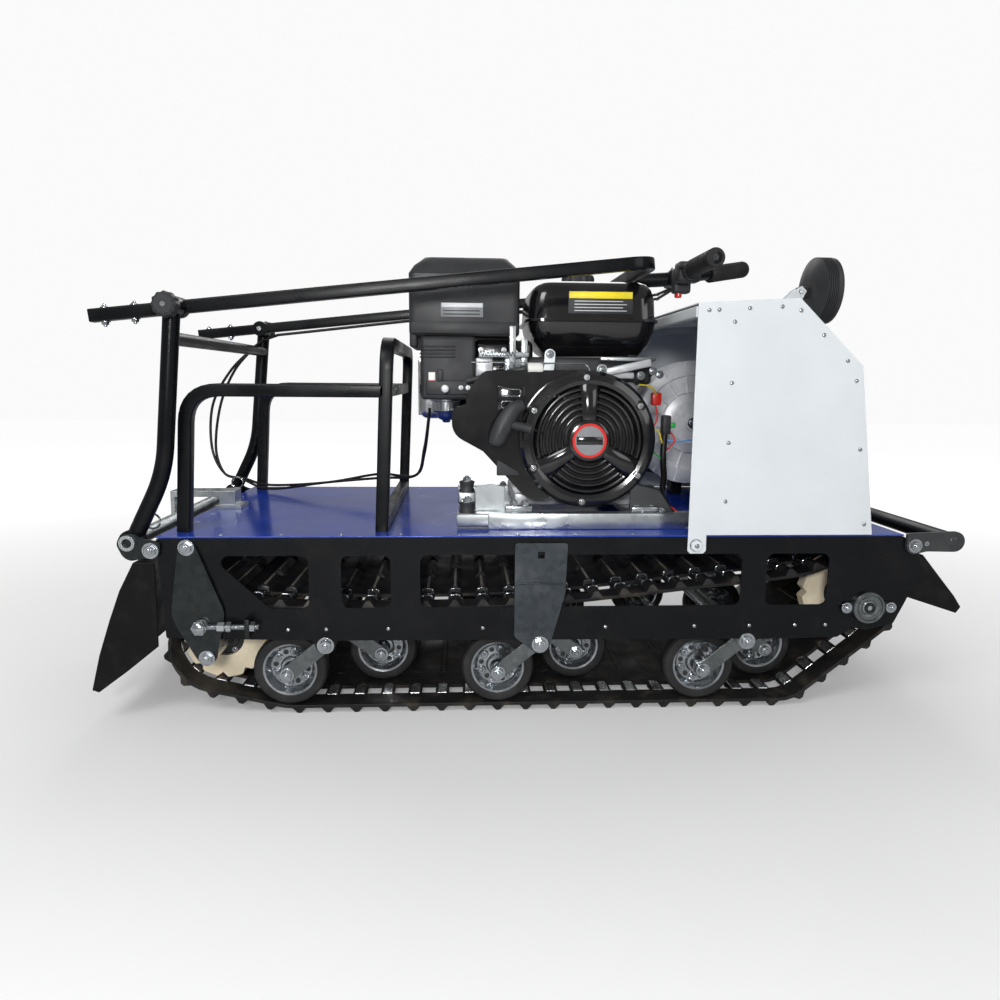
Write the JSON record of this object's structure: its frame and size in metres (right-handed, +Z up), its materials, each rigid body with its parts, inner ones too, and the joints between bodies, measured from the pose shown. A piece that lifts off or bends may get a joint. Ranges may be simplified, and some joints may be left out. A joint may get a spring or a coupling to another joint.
{
  "type": "tracked power barrow",
  "caption": "Walk-behind tracked power barrow: petrol engine and hood on a flat deck over one wide rubber track, with a cargo rack and a fold-down steering frame.",
  "frame": {"origin": "on the ground plane under the middle of the track, on the tip of a track lug", "axes": "+X towards the hood and headlamp end, +Y to the machine's left (chain side), +Z up"},
  "size_m": [1.516, 0.631, 0.8487],
  "materials": {
    "black_paint": "satin black powder coat",
    "blue_paint": "gloss blue paint",
    "grey_paint": "satin light grey powder coat",
    "zinc_plate": "mottled zinc plating",
    "bright_steel": "bright steel",
    "cast_alloy": "cast alloy",
    "track_rubber": "moulded rubber, scuffed",
    "wheel_tyre": "solid rubber tyre on a zinc-plated pressed rim",
    "cream_plastic": "natural moulded plastic",
    "gloss_black_plastic": "gloss black",
    "matt_black_plastic": "matt black moulding"
  },
  "bodies": {
    "chassis": {"track_belt": "track_rubber", "chassis_frame": "black_paint", "deck_sheet": "blue_paint", "front_bumper": "black_paint", "rear_hinge_beam": "zinc_plate", "hitch_bracket": "zinc_plate", "rear_flap": "black_paint", "front_flap": "black_paint", "right_mid_bracket": "zinc_plate", "left_mid_bracket": "zinc_plate", "cargo_rack": "black_paint", "right_drive_bearing": "zinc_plate", "left_drive_bearing": "zinc_plate", "engine_cradle": "zinc_plate", "engine_block": "cast_alloy", "fan_shroud": "gloss_black_plastic", "recoil_cover": "gloss_black_plastic", "fuel_tank": "gloss_black_plastic", "air_cleaner": "matt_black_plastic", "carburettor": "matt_black_plastic", "muffler": "bright_steel", "drive_belt": "track_rubber", "chain_case": "black_paint", "hood": "grey_paint"},
    "tensioner": {"right_tensioner_plate": "zinc_plate", "left_tensioner_plate": "zinc_plate"},
    "idler": {"idler_axle": "bright_steel", "right_idler_wheel": "cream_plastic", "left_idler_wheel": "cream_plastic"},
    "right_tension_screw": {"right_tension_screw": "bright_steel"},
    "left_tension_screw": {"left_tension_screw": "bright_steel"},
    "drive": {"drive_axle": "bright_steel", "right_drive_sprocket": "cream_plastic", "left_drive_sprocket": "cream_plastic"},
    "rear_bogie": {"rear_bogie": "zinc_plate"},
    "mid_bogie": {"mid_bogie": "zinc_plate"},
    "front_bogie": {"front_bogie": "zinc_plate"},
    "right_rear_outer_wheel": {"right_rear_outer_wheel": "wheel_tyre"},
    "right_rear_inner_wheel": {"right_rear_inner_wheel": "wheel_tyre"},
    "left_rear_outer_wheel": {"left_rear_outer_wheel": "wheel_tyre"},
    "left_rear_inner_wheel": {"left_rear_inner_wheel": "wheel_tyre"},
    "right_mid_outer_wheel": {"right_mid_outer_wheel": "wheel_tyre"},
    "right_mid_inner_wheel": {"right_mid_inner_wheel": "wheel_tyre"},
    "left_mid_outer_wheel": {"left_mid_outer_wheel": "wheel_tyre"},
    "left_mid_inner_wheel": {"left_mid_inner_wheel": "wheel_tyre"},
    "right_front_outer_wheel": {"right_front_outer_wheel": "wheel_tyre"},
    "right_front_inner_wheel": {"right_front_inner_wheel": "wheel_tyre"},
    "left_front_outer_wheel": {"left_front_outer_wheel": "wheel_tyre"},
    "left_front_inner_wheel": {"left_front_inner_wheel": "wheel_tyre"},
    "crankshaft": {"primary_pulley": "cast_alloy"},
    "jackshaft": {"driven_pulley": "cast_alloy"},
    "portal": {"steering_portal": "black_paint"},
    "handle": {"handlebar_frame": "black_paint"},
    "right_fold_knob": {"right_fold_knob": "matt_black_plastic"},
    "left_fold_knob": {"left_fold_knob": "matt_black_plastic"},
    "throttle_lever": {"throttle_lever": "matt_black_plastic"},
    "choke_lever": {"choke_lever": "matt_black_plastic"},
    "fuel_cap": {"fuel_cap": "matt_black_plastic"},
    "recoil_handle": {"recoil_handle": "matt_black_plastic"},
    "headlamp": {"headlamp": "matt_black_plastic"}
  },
  "joints": [
    {"name": "drive_spin", "type": "hinge", "parent": "chassis", "child": "drive", "pos_m": [0.599, 0, 0.203], "axis": [0, 1, 0], "continuous": true},
    {"name": "tension_swing", "type": "hinge", "parent": "chassis", "child": "tensioner", "pos_m": [-0.571, 0, 0.316], "axis": [0, -1, 0], "range_deg": [0, 5], "deforming": ["track_belt"]},
    {"name": "idler_spin", "type": "hinge", "parent": "tensioner", "child": "idler", "pos_m": [-0.546, 0, 0.125], "axis": [0, 1, 0], "continuous": true},
    {"name": "right_screw_pivot", "type": "hinge", "parent": "tensioner", "child": "right_tension_screw", "pos_m": [-0.552, -0.302, 0.182], "axis": [0, -1, 0], "range_deg": [-5, 0]},
    {"name": "left_screw_pivot", "type": "hinge", "parent": "tensioner", "child": "left_tension_screw", "pos_m": [-0.552, 0.302, 0.182], "axis": [0, -1, 0], "range_deg": [-5, 0]},
    {"name": "rear_bogie_rock", "type": "hinge", "parent": "chassis", "child": "rear_bogie", "pos_m": [-0.349, 0, 0.142], "axis": [0, 1, 0], "range_deg": [-4, 4], "deforming": ["track_belt"]},
    {"name": "mid_bogie_rock", "type": "hinge", "parent": "chassis", "child": "mid_bogie", "pos_m": [0.019, 0, 0.142], "axis": [0, 1, 0], "range_deg": [-4, 4], "deforming": ["track_belt"]},
    {"name": "front_bogie_rock", "type": "hinge", "parent": "chassis", "child": "front_bogie", "pos_m": [0.386, 0, 0.142], "axis": [0, 1, 0], "range_deg": [-4, 4], "deforming": ["track_belt"]},
    {"name": "right_rear_outer_wheel_spin", "type": "hinge", "parent": "rear_bogie", "child": "right_rear_outer_wheel", "pos_m": [-0.42, -0.232, 0.083], "axis": [0, 1, 0], "continuous": true},
    {"name": "right_rear_inner_wheel_spin", "type": "hinge", "parent": "rear_bogie", "child": "right_rear_inner_wheel", "pos_m": [-0.267, -0.13, 0.083], "axis": [0, 1, 0], "continuous": true},
    {"name": "left_rear_outer_wheel_spin", "type": "hinge", "parent": "rear_bogie", "child": "left_rear_outer_wheel", "pos_m": [-0.42, 0.232, 0.083], "axis": [0, 1, 0], "continuous": true},
    {"name": "left_rear_inner_wheel_spin", "type": "hinge", "parent": "rear_bogie", "child": "left_rear_inner_wheel", "pos_m": [-0.267, 0.13, 0.083], "axis": [0, 1, 0], "continuous": true},
    {"name": "right_mid_outer_wheel_spin", "type": "hinge", "parent": "mid_bogie", "child": "right_mid_outer_wheel", "pos_m": [-0.052, -0.232, 0.083], "axis": [0, 1, 0], "continuous": true},
    {"name": "right_mid_inner_wheel_spin", "type": "hinge", "parent": "mid_bogie", "child": "right_mid_inner_wheel", "pos_m": [0.101, -0.13, 0.083], "axis": [0, 1, 0], "continuous": true},
    {"name": "left_mid_outer_wheel_spin", "type": "hinge", "parent": "mid_bogie", "child": "left_mid_outer_wheel", "pos_m": [-0.052, 0.232, 0.083], "axis": [0, 1, 0], "continuous": true},
    {"name": "left_mid_inner_wheel_spin", "type": "hinge", "parent": "mid_bogie", "child": "left_mid_inner_wheel", "pos_m": [0.101, 0.13, 0.083], "axis": [0, 1, 0], "continuous": true},
    {"name": "right_front_outer_wheel_spin", "type": "hinge", "parent": "front_bogie", "child": "right_front_outer_wheel", "pos_m": [0.315, -0.232, 0.083], "axis": [0, 1, 0], "continuous": true},
    {"name": "right_front_inner_wheel_spin", "type": "hinge", "parent": "front_bogie", "child": "right_front_inner_wheel", "pos_m": [0.468, -0.13, 0.083], "axis": [0, 1, 0], "continuous": true},
    {"name": "left_front_outer_wheel_spin", "type": "hinge", "parent": "front_bogie", "child": "left_front_outer_wheel", "pos_m": [0.315, 0.232, 0.083], "axis": [0, 1, 0], "continuous": true},
    {"name": "left_front_inner_wheel_spin", "type": "hinge", "parent": "front_bogie", "child": "left_front_inner_wheel", "pos_m": [0.468, 0.13, 0.083], "axis": [0, 1, 0], "continuous": true},
    {"name": "crank_spin", "type": "hinge", "parent": "chassis", "child": "crankshaft", "pos_m": [0.105, 0.1, 0.491], "axis": [0, 1, 0], "continuous": true},
    {"name": "jackshaft_spin", "type": "hinge", "parent": "chassis", "child": "jackshaft", "pos_m": [0.385, 0.1, 0.505], "axis": [0, 1, 0], "continuous": true},
    {"name": "portal_fold", "type": "hinge", "parent": "chassis", "child": "portal", "pos_m": [-0.665, 0, 0.324], "axis": [0, -1, 0], "range_deg": [0, 75]},
    {"name": "handle_fold", "type": "hinge", "parent": "portal", "child": "handle", "pos_m": [-0.58, 0, 0.707], "axis": [0, -1, 0], "range_deg": [0, 50]},
    {"name": "right_knob_turn", "type": "hinge", "parent": "portal", "child": "right_fold_knob", "pos_m": [-0.58, -0.3, 0.707], "axis": [0, 1, 0], "range_deg": [0, 180]},
    {"name": "left_knob_turn", "type": "hinge", "parent": "portal", "child": "left_fold_knob", "pos_m": [-0.58, 0.3, 0.707], "axis": [0, 1, 0], "range_deg": [0, 180]},
    {"name": "throttle_press", "type": "hinge", "parent": "handle", "child": "throttle_lever", "pos_m": [0.3094, -0.122, 0.7978], "axis": [0, 1, 0], "range_deg": [0, 40]},
    {"name": "choke_slide", "type": "slide", "parent": "chassis", "child": "choke_lever", "axis": [0, 0, 1], "range_m": [0, 0.02]},
    {"name": "fuel_cap_turn", "type": "hinge", "parent": "chassis", "child": "fuel_cap", "pos_m": [0.11, -0.04, 0.776], "axis": [0, 0, 1], "range_deg": [0, 90]},
    {"name": "starter_pull", "type": "slide", "parent": "chassis", "child": "recoil_handle", "axis": [-0.5, -0.8, 0.3317], "range_m": [0, 0.45]},
    {"name": "lamp_tilt", "type": "hinge", "parent": "chassis", "child": "headlamp", "pos_m": [0.57, 0, 0.776], "axis": [0, 1, 0], "range_deg": [-20, 20]}
  ],
  "couplings": [
    {"joint": "idler_spin", "follows": "drive_spin", "ratio": 1},
    {"joint": "right_screw_pivot", "follows": "tension_swing", "ratio": -1},
    {"joint": "left_screw_pivot", "follows": "tension_swing", "ratio": -1},
    {"joint": "right_rear_outer_wheel_spin", "follows": "drive_spin", "ratio": 1.2182},
    {"joint": "right_rear_inner_wheel_spin", "follows": "drive_spin", "ratio": 1.2182},
    {"joint": "left_rear_outer_wheel_spin", "follows": "drive_spin", "ratio": 1.2182},
    {"joint": "left_rear_inner_wheel_spin", "follows": "drive_spin", "ratio": 1.2182},
    {"joint": "right_mid_outer_wheel_spin", "follows": "drive_spin", "ratio": 1.2182},
    {"joint": "right_mid_inner_wheel_spin", "follows": "drive_spin", "ratio": 1.2182},
    {"joint": "left_mid_outer_wheel_spin", "follows": "drive_spin", "ratio": 1.2182},
    {"joint": "left_mid_inner_wheel_spin", "follows": "drive_spin", "ratio": 1.2182},
    {"joint": "right_front_outer_wheel_spin", "follows": "drive_spin", "ratio": 1.2182},
    {"joint": "right_front_inner_wheel_spin", "follows": "drive_spin", "ratio": 1.2182},
    {"joint": "left_front_outer_wheel_spin", "follows": "drive_spin", "ratio": 1.2182},
    {"joint": "left_front_inner_wheel_spin", "follows": "drive_spin", "ratio": 1.2182},
    {"joint": "jackshaft_spin", "follows": "drive_spin", "ratio": 3}
  ]
}
